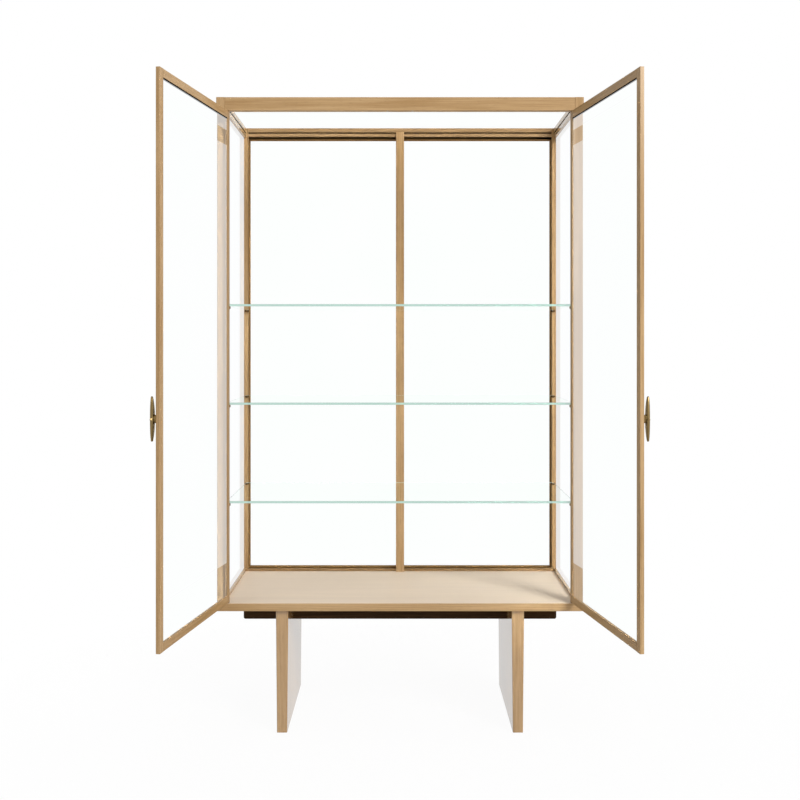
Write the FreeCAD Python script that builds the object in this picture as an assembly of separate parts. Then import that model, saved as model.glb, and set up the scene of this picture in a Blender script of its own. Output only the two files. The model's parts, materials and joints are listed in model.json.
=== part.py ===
import FreeCAD, Part
import os

# Glass display cabinet: an oak frame on two slab legs, glazed on top, sides and back,
# with three glass shelves and two framed glass doors that stand open on pivot hinges.
# Millimetres. While building, x runs to the right, y runs back from the front face of
# the closed doors and z runs up from the floor that the feet stand on.

# Case: overall width and depth, and its layers from the floor up
case_width = 1000.0
case_depth = 420.0
stand_height = 337.0
panel_thickness = 22.0
opening_height = 1339.0
front_rail_height = 37.0
edge_ease = 1.2

# Oak frame sections
post_face = 24.0
door_back_room = 8.0
rear_frame_depth = 38.0
back_lip_reveal = 7.0
top_rail_height = 19.0
back_rail_height = 10.0
side_sill_height = 10.0
back_sill_height = 9.0

# Dark seal between the top frame and the rails below it
seal_height = 3.5
seal_setback = 4.0

# Loose tenons in the frame's corner joints
tenon_length = 24.0
tenon_width = 10.0
tenon_thickness = 5.0
tenon_front_inset = 6.0
tenon_side_inset = 6.0
tenon_top_inset = 12.0
front_rail_tenon_inset = 17.0

# Panes of the case
top_glass_thickness = 6.0
top_glass_bearing = 8.0
side_glass_thickness = 5.0
side_glass_inset = 6.5
side_groove_depth = 6.0
back_glass_thickness = 5.0
back_lip_thickness = 6.0
back_glass_overlap = 5.0
back_pane_gap = 2.0
pane_face_clearance = 0.1
pane_edge_clearance = 0.5

# Mullion in front of the back panes and beads behind them
mullion_width = 25.0
mullion_projection = 6.0
centre_bead_width = 20.0
bead_reveal = 2.0
top_bead_reveal = 6.5

# Glass shelves on pins
shelf_thickness = 6.0
first_shelf_height = 269.5
shelf_pitch = 269.0
shelf_count = 3
shelf_side_gap = 2.0
shelf_front_gap = 3.0
shelf_back_gap = 2.0
shelf_pin_radius = 2.0
shelf_pin_reach = 12.0
shelf_pin_seat = 4.5
shelf_pin_wall = 1.0

# Slab legs and the bearers that pass through their tops
leg_inset = 177.5
leg_top_thickness = 34.0
leg_foot_thickness = 28.0
leg_setback = 15.0
leg_edge_radius = 3.0
bearer_end_inset = 53.0
bearer_setback = 145.0
bearer_height = 60.0
bearer_thickness = 26.0
bearer_end_radius = 5.5
bearer_clearance = 0.1
glide_radius = 9.0
glide_thickness = 5.0
glide_stand = 1.5
glide_inset = 30.0
screw_end_inset = 40.0
screw_head_radius = 5.0
screw_head_height = 4.0
screw_shank_radius = 2.2
screw_sink = 30.0
screw_bite = 14.0
screw_head_room = 1.0

# Doors
door_thickness = 10.0
door_member_width = 20.0
door_hinge_gap = 2.0
door_meeting_gap = 2.0
door_top_gap = 1.5
door_bottom_gap = 2.0
door_edge_ease = 0.6
door_glass_thickness = 4.0
door_groove_depth = 6.0
door_open_angle = 100.0

# Pivot hinges
pivot_radius = 2.0
pivot_seat = 18.0
pivot_end_room = 1.0
bush_radius = 3.5
bush_depth = 12.0
bush_flange_radius = 4.5
bearing_clearance = 0.3
running_clearance = 0.05

# Magnetic catches
magnet_radius = 3.5
magnet_depth = 6.0
strike_thickness = 2.0
catch_offset = 34.0

# Oval handles: a slim leaf with a flat front and a bowed back, on a round-ended stem
handle_drop = 3.0
handle_length = 104.0
handle_width = 14.0
handle_thickness = 8.0
handle_tip_thickness = 5.0
handle_ease = 0.6
stem_length = 8.0
stem_height = 22.0
stem_width = 11.0
spigot_radius = 3.0
leaf_spigot_depth = 4.0
stile_spigot_depth = 6.0

# Fits and cuts
seat_clearance = 0.05
overrun = 5.0
parallel_share = 0.99

# Levels and lines that several pieces share
V = FreeCAD.Vector
X_AXIS = V(1, 0, 0)
Y_AXIS = V(0, 1, 0)
Z_AXIS = V(0, 0, 1)
SIDES = {"left": -1, "right": 1}

half_width = case_width / 2
inner_x = half_width - post_face
rear_inner_x = inner_x - back_lip_reveal
front_post_depth = door_thickness + door_back_room
rear_y = case_depth - rear_frame_depth
back_glass_y = rear_y + back_lip_thickness
bead_y = back_glass_y + back_glass_thickness

panel_top = stand_height + panel_thickness
opening_top = panel_top + opening_height
case_top = opening_top + front_rail_height
top_rail_base = case_top - top_rail_height
seal_base = top_rail_base - seal_height
back_rail_base = seal_base - back_rail_height
side_sill_top = panel_top + side_sill_height
back_sill_top = panel_top + back_sill_height

shelf_front_y = door_thickness + shelf_front_gap
shelf_back_y = rear_y - mullion_projection - shelf_back_gap
shelf_half_width = inner_x - shelf_side_gap
shelf_bases = [panel_top + first_shelf_height + shelf_pitch * level for level in range(shelf_count)]

door_hinge_x = inner_x - door_hinge_gap
door_free_x = door_meeting_gap / 2
door_base = panel_top + door_bottom_gap
door_top = opening_top - door_top_gap
door_middle_y = door_thickness / 2
pivot_x = door_hinge_x - door_thickness / 2
handle_level = shelf_bases[0] + shelf_pitch - handle_drop


def box_between(first, second):
    """Box between two opposite corners, given in any order."""
    low = V(*(min(pair) for pair in zip(first, second)))
    high = V(*(max(pair) for pair in zip(first, second)))
    size = high.sub(low)
    return Part.makeBox(size.x, size.y, size.z, low)


def eased_bar(first, second, along, ease=edge_ease):
    """Box whose four long edges, along one axis, have their arrises taken off."""
    bar = box_between(first, second)
    edges = [e for e in bar.Edges if abs(e.tangentAt(e.FirstParameter).dot(along)) > parallel_share]
    return bar.makeChamfer(ease, edges)


def rod(start, along, length, radius):
    return Part.makeCylinder(radius, length, V(*start), along)


def prism(outline, along):
    """Solid swept from a closed outline by one vector."""
    points = [V(*point) for point in outline]
    return Part.Face(Part.makePolygon(points + points[:1])).extrude(along)


# Pockets that the panes sit in, cut from every frame member around them
def top_glass_pocket():
    edge_x = inner_x + top_glass_bearing
    front = (-edge_x, front_post_depth - top_glass_bearing, case_top - top_glass_thickness)
    return box_between(front, (edge_x, rear_y + top_glass_bearing, case_top + overrun))


def side_glass_pocket(side):
    near_x = inner_x + side_glass_inset - pane_face_clearance
    far_x = inner_x + side_glass_inset + side_glass_thickness + pane_face_clearance
    low = (side * near_x, front_post_depth - side_groove_depth, side_sill_top - side_groove_depth)
    return box_between(low, (side * far_x, rear_y + side_groove_depth, opening_top + side_groove_depth))


def back_glass_pocket():
    edge_x = rear_inner_x + back_glass_overlap
    low = (-edge_x, back_glass_y, back_sill_top - back_glass_overlap)
    return box_between(low, (edge_x, case_depth + overrun, back_rail_base + back_glass_overlap))


# Loose tenons: one in each post's foot, then one in each end of the four top rails
def loose_tenon(centre, along, broad, clearance):
    thin = along.cross(broad)
    half = along * (tenon_length / 2 + clearance) + broad * (tenon_width / 2 + clearance)
    half = half + thin * (tenon_thickness / 2 + clearance)
    return box_between(V(*centre) - half, V(*centre) + half)


def loose_tenons(clearance=0):
    tenons = []
    top_level = case_top - tenon_top_inset
    back_line = (bead_y + case_depth) / 2
    for side in SIDES.values():
        post_x = side * (half_width - post_face / 2)
        side_x = side * (half_width - tenon_side_inset)
        front_end = (side * inner_x, front_post_depth / 2, case_top - front_rail_tenon_inset)
        back_end = (side * rear_inner_x, back_line, top_level)
        tenons += [
            loose_tenon((post_x, tenon_front_inset, panel_top), Z_AXIS, X_AXIS, clearance),
            loose_tenon((post_x, back_line, panel_top), Z_AXIS, X_AXIS, clearance),
            loose_tenon(front_end, X_AXIS, Z_AXIS, clearance),
            loose_tenon(back_end, X_AXIS, Z_AXIS, clearance),
            loose_tenon((side_x, front_post_depth, top_level), Y_AXIS, Z_AXIS, clearance),
            loose_tenon((side_x, rear_y, top_level), Y_AXIS, Z_AXIS, clearance),
        ]
    return tenons


# Shelf pins: in the inner faces of the front posts and in the lips of the rear posts
def shelf_pin_rods(radius):
    rods = []
    length = shelf_pin_reach + shelf_pin_seat
    front_y = front_post_depth - shelf_pin_wall - shelf_pin_radius
    rear_x = rear_inner_x + shelf_pin_wall + shelf_pin_radius
    for base in shelf_bases:
        level = base - shelf_pin_radius
        for side in SIDES.values():
            front_start = (side * (inner_x + shelf_pin_seat), front_y, level)
            rods.append(rod(front_start, X_AXIS * -side, length, radius))
            rods.append(rod((side * rear_x, rear_y - shelf_pin_reach, level), Y_AXIS, length, radius))
    return rods


# Screws that draw the bearers up against the floor panel
def bearer_front_faces():
    return {"front": bearer_setback, "rear": case_depth - bearer_setback - bearer_thickness}


def screw_places():
    end_x = half_width - bearer_end_inset - screw_end_inset
    lines = [front_y + bearer_thickness / 2 for front_y in bearer_front_faces().values()]
    return [(x, y) for y in lines for x in (-end_x, end_x)]


def screw_head_level():
    return stand_height - bearer_height + screw_sink


def bearer_screw(place):
    x, y = place
    seat_z = screw_head_level()
    shank_length = stand_height + screw_bite - seat_z
    head = rod((x, y, seat_z - screw_head_height), Z_AXIS, screw_head_height, screw_head_radius)
    return head.fuse(rod((x, y, seat_z), Z_AXIS, shank_length, screw_shank_radius)).removeSplitter()


def screw_hole(place):
    x, y = place
    seat_z = screw_head_level()
    shank_length = stand_height + screw_bite - seat_z
    mouth_z = stand_height - bearer_height - overrun
    bore = rod((x, y, mouth_z), Z_AXIS, seat_z - mouth_z, screw_head_radius + screw_head_room)
    return bore.fuse(rod((x, y, seat_z), Z_AXIS, shank_length, screw_shank_radius + seat_clearance))


# Floor panel, legs, bearers and feet
def floor_panel():
    panel = box_between((-half_width, 0, stand_height), (half_width, case_depth, panel_top))
    panel = panel.makeChamfer(edge_ease, panel.Edges)
    seats = [bush_seat(side, panel_top - bush_depth) for side in SIDES.values()]
    return panel.cut(seats + [screw_holes, mortises])


def glide_places(side):
    leg_x = side * (half_width - leg_inset)
    first_y = leg_setback + glide_inset
    return [(leg_x, first_y), (leg_x, case_depth - first_y)]


def leg(side):
    """Slab whose two broad faces close in towards the foot, notched for the bearers."""
    leg_x = side * (half_width - leg_inset)
    half_top = leg_top_thickness / 2
    half_foot = leg_foot_thickness / 2
    outline = [
        (leg_x - half_foot, leg_setback, glide_stand),
        (leg_x + half_foot, leg_setback, glide_stand),
        (leg_x + half_top, leg_setback, stand_height),
        (leg_x - half_top, leg_setback, stand_height),
    ]
    slab = prism(outline, Y_AXIS * (case_depth - 2 * leg_setback))
    uprights = [e for e in slab.Edges if e.BoundBox.ZLength > bearer_height]
    slab = slab.makeFillet(leg_edge_radius, uprights)
    for front_y in bearer_front_faces().values():
        notch_low = (leg_x - leg_top_thickness, front_y - bearer_clearance, stand_height - bearer_height)
        notch_high = (leg_x + leg_top_thickness, front_y + bearer_thickness + bearer_clearance,
                      stand_height + overrun)
        slab = slab.cut(box_between(notch_low, notch_high))
    recess_depth = glide_thickness - glide_stand
    for x, y in glide_places(side):
        slab = slab.cut(rod((x, y, glide_stand), Z_AXIS, recess_depth, glide_radius + seat_clearance))
    return slab


def bearer(front_y):
    """Long rail under the floor panel with rounded lower ends."""
    end_x = half_width - bearer_end_inset
    low = (-end_x, front_y, stand_height - bearer_height)
    beam = box_between(low, (end_x, front_y + bearer_thickness, stand_height))
    underside = [e for e in beam.Edges if e.BoundBox.ZMax < stand_height]
    ends = [e for e in underside if e.BoundBox.XLength < bearer_end_radius]
    return beam.makeFillet(bearer_end_radius, ends).cut(screw_holes)


def foot_glides():
    places = [place for side in SIDES.values() for place in glide_places(side)]
    return [rod((x, y, 0), Z_AXIS, glide_thickness, glide_radius) for x, y in places]


# Posts and rails
def front_post(side):
    post = eased_bar((side * inner_x, 0, panel_top), (side * half_width, front_post_depth, case_top), Z_AXIS)
    return post.cut([side_glass_pocket(side), top_glass_pocket(), mortises, shelf_pin_holes])


def rear_post(side):
    low = (side * rear_inner_x, rear_y, panel_top)
    post = eased_bar(low, (side * half_width, case_depth, case_top), Z_AXIS)
    post = post.cut([side_glass_pocket(side), top_glass_pocket(), mortises, shelf_pin_holes])
    rebate_low = (side * (rear_inner_x - overrun), back_glass_y, panel_top)
    rebate_high = (side * (rear_inner_x + back_glass_overlap), case_depth + overrun, seal_base)
    return post.cut(box_between(rebate_low, rebate_high))


def top_front_rail():
    rail = eased_bar((-inner_x, 0, opening_top), (inner_x, front_post_depth, case_top), X_AXIS)
    rail = rail.cut([top_glass_pocket(), mortises])
    for side in SIDES.values():
        rail = rail.cut([bush_seat(side, opening_top), catch_magnet(side, seat_clearance)])
    return rail


def side_rail(side, base, top):
    return eased_bar((side * inner_x, front_post_depth, base), (side * half_width, rear_y, top), Y_AXIS)


def top_side_rail(side):
    return side_rail(side, top_rail_base, case_top).cut([top_glass_pocket(), mortises])


def upper_side_rail(side):
    return side_rail(side, opening_top, seal_base).cut(side_glass_pocket(side))


def side_sill(side):
    return side_rail(side, panel_top, side_sill_top).cut(side_glass_pocket(side))


def back_rail(base, top):
    return eased_bar((-rear_inner_x, rear_y, base), (rear_inner_x, case_depth, top), X_AXIS)


def seal_strips():
    strips = []
    for side in SIDES.values():
        near = (side * (inner_x + seal_setback), front_post_depth, seal_base)
        far = (side * (half_width - seal_setback), rear_y, top_rail_base)
        strips.append(box_between(near, far))
    back_low = (-rear_inner_x, rear_y + seal_setback, seal_base)
    strips.append(box_between(back_low, (rear_inner_x, case_depth - seal_setback, top_rail_base)))
    return strips


# Mullion and the mitred beads that hold the back panes
def back_mullion():
    """Upright that laps over the lips of the back rail and the back sill."""
    half = mullion_width / 2
    low = (-half, rear_y - mullion_projection, panel_top)
    upright = eased_bar(low, (half, back_glass_y, top_rail_base), Z_AXIS)
    lap_edge = half + overrun
    lap_back = back_glass_y + overrun
    upper_lap = box_between((-lap_edge, rear_y, back_rail_base), (lap_edge, lap_back, case_top))
    lower_lap = box_between((-lap_edge, rear_y, stand_height), (lap_edge, lap_back, back_sill_top))
    return upright.cut([upper_lap, lower_lap])


def bead_corners(growth, top_growth):
    """Corners of the back opening's sight line, moved outwards, the top edge by its own distance."""
    x = rear_inner_x + growth
    low = back_sill_top - growth
    high = back_rail_base + top_growth
    return [(-x, bead_y, low), (x, bead_y, low), (x, bead_y, high), (-x, bead_y, high)]


def back_beads():
    outer = bead_corners(back_glass_overlap, back_glass_overlap)
    inner = bead_corners(-bead_reveal, -top_bead_reveal)
    depth = Y_AXIS * (case_depth - bead_y)
    beads = {}
    for index, place in enumerate(["bottom", "right", "top", "left"]):
        after = (index + 1) % len(outer)
        outline = [outer[index], outer[after], inner[after], inner[index]]
        beads["back_%s_bead" % place] = prism(outline, depth)
    half = centre_bead_width / 2
    low = (-half, bead_y, back_sill_top + bead_reveal)
    beads["back_centre_bead"] = eased_bar(low, (half, case_depth, back_rail_base - top_bead_reveal), Z_AXIS)
    return beads


# Panes and shelves
def top_glass():
    edge_x = inner_x + top_glass_bearing - pane_edge_clearance
    front_y = front_post_depth - top_glass_bearing + pane_edge_clearance
    back_y = rear_y + top_glass_bearing - pane_edge_clearance
    return box_between((-edge_x, front_y, case_top - top_glass_thickness), (edge_x, back_y, case_top))


def side_glass(side):
    near_x = inner_x + side_glass_inset
    reach = side_groove_depth - pane_edge_clearance
    low = (side * near_x, front_post_depth - reach, side_sill_top - side_groove_depth)
    return box_between(low, (side * (near_x + side_glass_thickness), rear_y + reach, opening_top + reach))


def back_glass(side):
    reach = back_glass_overlap - pane_edge_clearance
    low = (side * back_pane_gap / 2, back_glass_y, back_sill_top - back_glass_overlap)
    return box_between(low, (side * (rear_inner_x + reach), bead_y, back_rail_base + reach))


def shelf(base):
    low = (-shelf_half_width, shelf_front_y, base)
    return box_between(low, (shelf_half_width, shelf_back_y, base + shelf_thickness))


# Pivot bushes and catch magnets, fixed in the case
def bush_seat(side, base):
    return pivot_rod(side, base, bush_depth, bush_radius + seat_clearance)


def bush_pair(side):
    lower_base = panel_top - bush_depth
    bore = pivot_rod(side, lower_base, opening_height + 2 * bush_depth, pivot_radius + running_clearance)
    upper = pivot_rod(side, opening_top, bush_depth, bush_radius)
    lower = pivot_rod(side, lower_base, bush_depth, bush_radius)
    flange = pivot_rod(side, panel_top, door_bottom_gap - bearing_clearance, bush_flange_radius)
    return [upper.cut(bore), lower.fuse(flange).removeSplitter().cut(bore)]


def catch_magnet(side, clearance=0):
    start = (side * catch_offset, door_middle_y, opening_top)
    return rod(start, Z_AXIS, magnet_depth, magnet_radius + clearance)


# Doors, built shut
def door_groove(low, high):
    """Cutter for the groove that holds a door's pane, centred in the frame's thickness."""
    half = door_glass_thickness / 2 + pane_face_clearance
    (x_low, z_low), (x_high, z_high) = low, high
    return box_between((x_low, door_middle_y - half, z_low), (x_high, door_middle_y + half, z_high))


def pivot_rod(side, base, length, radius):
    return rod((side * pivot_x, door_middle_y, base), Z_AXIS, length, radius)


def hinge_stile(side):
    """Stile with a full-round edge about the pivot, grooved for the pane."""
    glass_x = door_hinge_x - door_member_width
    bar = eased_bar((side * glass_x, 0, door_base), (side * pivot_x, door_thickness, door_top),
                    Z_AXIS, door_edge_ease)
    square_x = glass_x + 2 * door_edge_ease
    core = box_between((side * square_x, 0, door_base), (side * pivot_x, door_thickness, door_top))
    round_edge = pivot_rod(side, door_base, door_top - door_base, door_thickness / 2)
    stile = bar.fuse([core, round_edge]).removeSplitter()
    groove_start = (side * (glass_x - overrun), door_base - overrun)
    stile = stile.cut(door_groove(groove_start, (side * (glass_x + door_groove_depth), door_top + overrun)))
    hole_radius = pivot_radius + seat_clearance
    lower_seat = pivot_rod(side, door_base, pivot_seat, hole_radius)
    return stile.cut([lower_seat, pivot_rod(side, door_top - pivot_seat, pivot_seat, hole_radius)])


def meeting_stile(side):
    glass_x = door_free_x + door_member_width
    stile = eased_bar((side * door_free_x, 0, door_base), (side * glass_x, door_thickness, door_top),
                      Z_AXIS, door_edge_ease)
    groove_start = (side * (glass_x - door_groove_depth), door_base - overrun)
    stile = stile.cut(door_groove(groove_start, (side * (glass_x + overrun), door_top + overrun)))
    return stile.cut(stem_spigot(side, seat_clearance))


def door_rail(side, base, groove_low, groove_high):
    """Rail between the stiles, with stub tenons that fill their grooves."""
    near_x = door_free_x + door_member_width
    far_x = door_hinge_x - door_member_width
    top = base + door_member_width
    rail = eased_bar((side * near_x, 0, base), (side * far_x, door_thickness, top), X_AXIS, door_edge_ease)
    half = door_glass_thickness / 2
    tenon_low = (side * (near_x - door_groove_depth), door_middle_y - half, base)
    tenon_high = (side * (far_x + door_groove_depth), door_middle_y + half, top)
    rail = rail.fuse(box_between(tenon_low, tenon_high)).removeSplitter()
    return rail.cut(door_groove((-half_width, groove_low), (half_width, groove_high)))


def door_bottom_rail(side):
    top = door_base + door_member_width
    return door_rail(side, door_base, top - door_groove_depth, top + overrun)


def strike_plate(side, clearance=0):
    start = (side * catch_offset, door_middle_y, door_top - strike_thickness)
    return rod(start, Z_AXIS, strike_thickness, magnet_radius + clearance)


def door_top_rail(side):
    base = door_top - door_member_width
    rail = door_rail(side, base, base - overrun, base + door_groove_depth)
    return rail.cut(strike_plate(side, seat_clearance))


def door_glass(side):
    reach = door_groove_depth - pane_edge_clearance
    near_x = door_free_x + door_member_width - reach
    far_x = door_hinge_x - door_member_width + reach
    base = door_base + door_member_width - door_groove_depth
    top = door_top - door_member_width + reach
    half = door_glass_thickness / 2
    return box_between((side * near_x, door_middle_y - half, base), (side * far_x, door_middle_y + half, top))


def pivot_pins(side):
    reach = bush_depth - pivot_end_room
    lower_length = pivot_seat + door_bottom_gap + reach
    upper_length = pivot_seat + door_top_gap + reach
    lower = pivot_rod(side, door_base - door_bottom_gap - reach, lower_length, pivot_radius)
    return [lower, pivot_rod(side, door_top - pivot_seat, upper_length, pivot_radius)]


def handle_x(side):
    return side * (door_free_x + door_member_width / 2)


def stem_spigot(side, clearance=0):
    return rod((handle_x(side), 0, handle_level), Y_AXIS, stile_spigot_depth, spigot_radius + clearance)


def leaf_spigot(side, clearance=0):
    start = (handle_x(side), -stem_length, handle_level)
    return rod(start, Y_AXIS * -1, leaf_spigot_depth, spigot_radius + clearance)


def handle_stem(side):
    """Round-ended stem between door and leaf, with a round spigot at each side."""
    radius = stem_width / 2
    reach = stem_height / 2 - radius
    low = (handle_x(side) - radius, -stem_length, handle_level - reach)
    stem = box_between(low, (handle_x(side) + radius, 0, handle_level + reach))
    ends = []
    for level in (handle_level - reach, handle_level + reach):
        ends.append(rod((handle_x(side), 0, level), Y_AXIS * -1, stem_length, radius))
    return stem.fuse(ends + [stem_spigot(side), leaf_spigot(side)]).removeSplitter()


def handle_leaf(side):
    """Oval plate, flat in front and bowed behind along its length, with softened rims."""
    half_length = handle_length / 2
    bow = handle_thickness - handle_tip_thickness
    bow_radius = (half_length ** 2 + bow ** 2) / (2 * bow)
    front_y = -stem_length - handle_thickness
    oval = Part.Ellipse(V(0, 0, half_length), V(handle_width / 2, 0, 0), V(0, 0, 0))
    plate = Part.Face(Part.Wire(oval.toShape())).extrude(Y_AXIS * (handle_thickness + overrun))
    plate.translate(V(handle_x(side), front_y, handle_level))
    bow_start = (handle_x(side) - handle_width, -stem_length - bow_radius, handle_level)
    plate = plate.common(rod(bow_start, X_AXIS, 2 * handle_width, bow_radius))
    rims = [e for e in plate.Edges if e.Length > handle_length]
    return plate.makeChamfer(handle_ease, rims).cut(leaf_spigot(side, seat_clearance))


def door_pieces(name, side):
    return {
        name + "_hinge_stile": [hinge_stile(side)],
        name + "_meeting_stile": [meeting_stile(side)],
        name + "_door_top_rail": [door_top_rail(side)],
        name + "_door_bottom_rail": [door_bottom_rail(side)],
        name + "_door_glass": [door_glass(side)],
        name + "_pivot_pins": pivot_pins(side),
        name + "_handle_leaf": [handle_leaf(side)],
        name + "_handle_stem": [handle_stem(side)],
        name + "_strike_plate": [strike_plate(side)],
    }


# Holes that several pieces share
mortises = Part.makeCompound(loose_tenons(seat_clearance))
shelf_pin_holes = Part.makeCompound(shelf_pin_rods(shelf_pin_radius + seat_clearance))
screw_holes = Part.makeCompound([screw_hole(place) for place in screw_places()])

# Case pieces by name, each a list of separate solids
pieces = {
    "floor_panel": [floor_panel()],
    "bearer_screws": [bearer_screw(place) for place in screw_places()],
    "foot_glides": foot_glides(),
    "frame_tenons": loose_tenons(),
    "top_front_rail": [top_front_rail()],
    "top_back_rail": [back_rail(top_rail_base, case_top).cut([top_glass_pocket(), mortises])],
    "upper_back_rail": [back_rail(back_rail_base, seal_base).cut(back_glass_pocket())],
    "lower_back_rail": [back_rail(panel_top, back_sill_top).cut(back_glass_pocket())],
    "top_seal": seal_strips(),
    "back_mullion": [back_mullion()],
    "top_glass": [top_glass()],
    "shelf_pins": shelf_pin_rods(shelf_pin_radius),
    "pivot_bushes": [bush for side in SIDES.values() for bush in bush_pair(side)],
    "catch_magnets": [catch_magnet(side) for side in SIDES.values()],
}
for place, front_y in bearer_front_faces().items():
    pieces[place + "_bearer"] = [bearer(front_y)]
for place, base in zip(["lower", "middle", "upper"], shelf_bases):
    pieces[place + "_shelf"] = [shelf(base)]
for bead_name, bead in back_beads().items():
    pieces[bead_name] = [bead]
for name, side in SIDES.items():
    pieces[name + "_leg"] = [leg(side)]
    pieces["front_%s_post" % name] = [front_post(side)]
    pieces["rear_%s_post" % name] = [rear_post(side)]
    pieces["top_%s_rail" % name] = [top_side_rail(side)]
    pieces["upper_%s_rail" % name] = [upper_side_rail(side)]
    pieces["lower_%s_rail" % name] = [side_sill(side)]
    pieces[name + "_glass"] = [side_glass(side)]
    pieces["back_%s_glass" % name] = [back_glass(side)]

# Each door swings open about its pivot, away from the case
for name, side in SIDES.items():
    pivot = V(side * pivot_x, door_middle_y, 0)
    for piece_name, solids in door_pieces(name, side).items():
        for solid in solids:
            solid.rotate(pivot, Z_AXIS, side * door_open_angle)
        pieces[piece_name] = solids

# The origin goes to the middle of the footprint, doors open, at floor level
whole = Part.makeCompound([solid for solids in pieces.values() for solid in solids])
footprint = whole.optimalBoundingBox(False)
to_origin = V(0, -(footprint.YMin + footprint.YMax) / 2, 0)

os.makedirs("parts", exist_ok=True)
for piece_name, solids in pieces.items():
    for solid in solids:
        solid.translate(to_origin)
    shape = solids[0] if len(solids) == 1 else Part.makeCompound(solids)
    shape.exportStep("parts/%s.step" % piece_name)
    if not shape.isValid() or len(shape.Solids) != len(solids):
        print("check", piece_name, len(shape.Solids), "solids")

print(len(pieces), "pieces,", sum(len(solids) for solids in pieces.values()), "solids")
print("width %.1f, depth %.1f, height %.1f" % (footprint.XLength, footprint.YLength, footprint.ZLength))
print("front face of the case at y = %.3f" % to_origin.y)
print("door pivots at x = %.3f, y = %.3f" % (pivot_x, door_middle_y + to_origin.y))
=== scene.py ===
# %% [markdown]
# # A glazed oak display cabinet
# This lesson dresses a packed cabinet model. The frame, panes, shelves, doors and hardware come from
# the construction model at their real size, in metres, with the doors standing open. Here they get
# their finishes, and a few pieces, such as the shelves and the handles, are remade with finer shapes.

# %% Load the cabinet
import json
import math

import bmesh
import bpy
from mathutils import Matrix, Vector


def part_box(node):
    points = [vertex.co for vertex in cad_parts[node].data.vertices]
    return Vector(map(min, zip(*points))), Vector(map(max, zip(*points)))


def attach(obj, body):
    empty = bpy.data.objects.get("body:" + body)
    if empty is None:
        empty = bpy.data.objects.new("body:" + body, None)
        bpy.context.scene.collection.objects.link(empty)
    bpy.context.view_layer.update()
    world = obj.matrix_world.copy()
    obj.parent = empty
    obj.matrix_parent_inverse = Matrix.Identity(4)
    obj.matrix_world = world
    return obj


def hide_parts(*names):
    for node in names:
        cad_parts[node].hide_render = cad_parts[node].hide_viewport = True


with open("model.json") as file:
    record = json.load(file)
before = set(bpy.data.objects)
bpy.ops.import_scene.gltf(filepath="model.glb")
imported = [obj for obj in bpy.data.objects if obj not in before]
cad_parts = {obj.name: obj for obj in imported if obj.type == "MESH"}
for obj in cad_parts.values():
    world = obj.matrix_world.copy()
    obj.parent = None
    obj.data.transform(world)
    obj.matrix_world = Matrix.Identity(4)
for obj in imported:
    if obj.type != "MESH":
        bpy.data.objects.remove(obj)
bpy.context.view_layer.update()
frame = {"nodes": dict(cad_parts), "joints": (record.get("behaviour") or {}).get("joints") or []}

nodes = frame["nodes"]

# %% [markdown]
# ## The camera
# The picture was taken square to the front, from the middle, with the lens slid down so that the
# uprights stay parallel. A level camera with a vertical shift does the same. The eye is 1.077 m above
# the floor and 2.775 m in front of the posts.

# %% Place the camera
EYE_HEIGHT = 1.0767
EYE_DISTANCE = 2.775
FOCAL_LENGTH = 45.94
SENSOR_WIDTH = 36.0
LENS_SLIDE = -0.076
QUARTER_TURN = math.radians(90.0)

scene = bpy.context.scene
front_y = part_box("front_left_post")[0].y
camera_data = bpy.data.cameras.new("front_view")
camera_data.lens = FOCAL_LENGTH
camera_data.sensor_width = SENSOR_WIDTH
camera_data.shift_y = LENS_SLIDE
camera = bpy.data.objects.new("front_view", camera_data)
camera.location = (0.0, front_y - EYE_DISTANCE, EYE_HEIGHT)
camera.rotation_euler = (QUARTER_TURN, 0.0, 0.0)
scene.collection.objects.link(camera)
scene.camera = camera
print("camera at", tuple(round(v, 3) for v in camera.location))

# %% [markdown]
# ## Colours and node trees
# Colours are written as they look on a screen, 0 to 255. Blender's shaders count light, so a short
# helper turns screen values into light values. The others add nodes and join them, which keeps each
# material down to a few readable lines.

# %% Helpers for node trees
def tone(red, green, blue):
    """Screen colour, 0 to 255, as the linear colour that a shader socket takes."""
    linear = []
    for part in (red, green, blue):
        share = part / 255.0
        linear.append(share / 12.92 if share <= 0.04045 else ((share + 0.055) / 1.055) ** 2.4)
    return (*linear, 1.0)


def add(tree, kind, links=None, **settings):
    """New node in a tree: settings are its own properties, links go from sockets to inputs."""
    node = tree.nodes.new(kind)
    for key, value in settings.items():
        setattr(node, key, value)
    for key, value in (links or {}).items():
        socket = node.inputs[key]
        if isinstance(value, bpy.types.NodeSocket):
            tree.links.new(value, socket)
        else:
            socket.default_value = value
    return node


def maths(tree, operation, *values, **settings):
    """Socket with the result of one sum on numbers or sockets."""
    links = dict(enumerate(values))
    return add(tree, "ShaderNodeMath", links, operation=operation, **settings).outputs[0]


def mixed(tree, share, first, second):
    """Socket with a colour that goes from the first to the second as the share grows."""
    return add(tree, "ShaderNodeMix", {0: share, 6: first, 7: second}, data_type="RGBA").outputs[2]


def rescaled(tree, value, **limits):
    """Socket with a value carried from one range to another. From_Min is the socket From Min."""
    node = add(tree, "ShaderNodeMapRange", {"Value": value})
    for key, limit in limits.items():
        node.inputs[key.replace("_", " ")].default_value = limit
    return node.outputs[0]


print("a middle grey on the screen is", round(tone(128, 128, 128)[0], 3), "of full light")

# %% [markdown]
# ## Starting a finish and putting it on
# Every finish starts from one Principled shader. Values that are the same all over a piece are set on
# its own sockets, and patterns are joined to it later. A construction piece takes its finish by having
# its list of materials cleared and filled again, so its shape is never touched.

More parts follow.
